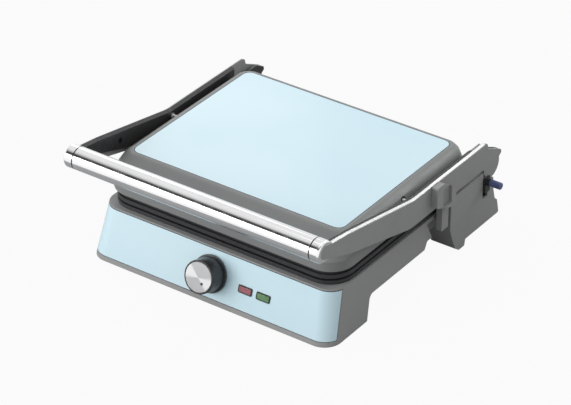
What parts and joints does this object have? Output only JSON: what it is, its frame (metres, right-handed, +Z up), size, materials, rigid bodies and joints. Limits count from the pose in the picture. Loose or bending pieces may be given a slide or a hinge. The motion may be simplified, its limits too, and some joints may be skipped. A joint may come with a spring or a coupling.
{
  "type": "contact grill",
  "caption": "Countertop contact grill: ribbed plates between a round-cornered base and a lid that floats between two side arms joined by a round bar handle.",
  "frame": {"origin": "on the table plane, in the left-right middle plane, about halfway between the handle bar and the arms' hinge axis", "axes": "+Z up, +Y from the handle towards the hinge at the rear, +X towards the side with the lock slider and the release lever"},
  "size_m": [0.3512, 0.3544, 0.148],
  "materials": {
    "grey_plastic": "fine satin",
    "black_plastic": "satin",
    "black_gloss": "polished",
    "blue_panel": "satin lacquer",
    "coated_aluminium": "dark non-stick coat on cast aluminium",
    "element_steel": "oxidised",
    "sheet_steel": "mill finish",
    "polished_metal": "mirror polish",
    "spun_metal": "spun",
    "trim_metal": "bright",
    "screw_steel": "zinc plated",
    "brass": "turned",
    "rubber": "matt",
    "red_lens": "clear coloured",
    "green_lens": "clear coloured",
    "lamp_glass": "clear",
    "cream_plastic": "satin",
    "white_sleeve": "glass-fibre sleeve",
    "blue_plastic": "satin"
  },
  "bodies": {
    "base": {"base_housing": "grey_plastic", "base_bottom_cover": "grey_plastic", "front_panel": "blue_panel", "lower_plate": "coated_aluminium", "lower_heating_element": "element_steel", "lower_heat_shield": "sheet_steel", "lower_element_clips": "sheet_steel", "lower_thermal_fuse": "brass", "thermostat": "cream_plastic", "thermostat_bracket": "sheet_steel", "red_lamp_lens": "red_lens", "green_lamp_lens": "green_lens", "lamp_bezels": "black_plastic", "neon_lamps": "lamp_glass", "terminal_block": "cream_plastic", "base_wires": "white_sleeve", "cord_gland": "rubber", "rubber_feet": "rubber", "base_screws": "screw_steel", "hinge_block_right": "grey_plastic", "hinge_block_left": "grey_plastic", "hinge_pins": "screw_steel", "hinge_block_screws": "screw_steel", "release_spring": "screw_steel"},
    "knob": {"knob_body": "black_gloss", "knob_cap": "spun_metal", "knob_pointer": "black_gloss", "knob_shaft": "screw_steel"},
    "release": {"release_lever": "black_plastic", "release_tip": "blue_plastic"},
    "arms": {"right_arm_shell": "grey_plastic", "left_arm_shell": "grey_plastic", "right_arm_core": "sheet_steel", "left_arm_core": "sheet_steel", "right_arm_inner_cover": "black_plastic", "left_arm_inner_cover": "black_plastic", "right_arm_strip": "trim_metal", "left_arm_strip": "trim_metal", "arm_screws": "screw_steel", "hinge_bushes": "brass", "handle_bar": "polished_metal", "handle_rings": "black_plastic", "handle_end_caps": "polished_metal", "handle_plugs": "black_plastic", "handle_bolts": "screw_steel", "lid_pivot_pins": "screw_steel"},
    "lock": {"lock_slider": "grey_plastic"},
    "lid": {"lid_frame": "grey_plastic", "lid_panel": "blue_panel", "upper_plate": "coated_aluminium", "upper_heating_element": "element_steel", "upper_heat_shield": "sheet_steel", "upper_element_clips": "sheet_steel", "upper_thermal_fuse": "brass", "lid_pivot_bushes": "brass", "lid_screws": "screw_steel"}
  },
  "joints": [
    {"name": "arm_hinge", "type": "hinge", "parent": "base", "child": "arms", "pos_m": [0, 0.16, 0.08], "axis": [-1, 0, 0], "range_deg": [0, 180]},
    {"name": "lid_tilt", "type": "hinge", "parent": "arms", "child": "lid", "pos_m": [0, 0.0025, 0.106], "axis": [1, 0, 0], "range_deg": [-1.1, 1.1]},
    {"name": "knob_turn", "type": "hinge", "parent": "base", "child": "knob", "pos_m": [0, -0.13828, 0.0322], "axis": [0, -0.9532, 0.3023], "range_deg": [0, 270]},
    {"name": "lock_slide", "type": "slide", "parent": "arms", "child": "lock", "axis": [0, 1, 0], "range_m": [0, 0.0046]},
    {"name": "release_slide", "type": "slide", "parent": "base", "child": "release", "axis": [0, 0, -1], "range_m": [0, 0.012], "stiffness_N_per_m": 300, "springref_m": -0.002, "deforming": ["release_spring"]}
  ]
}
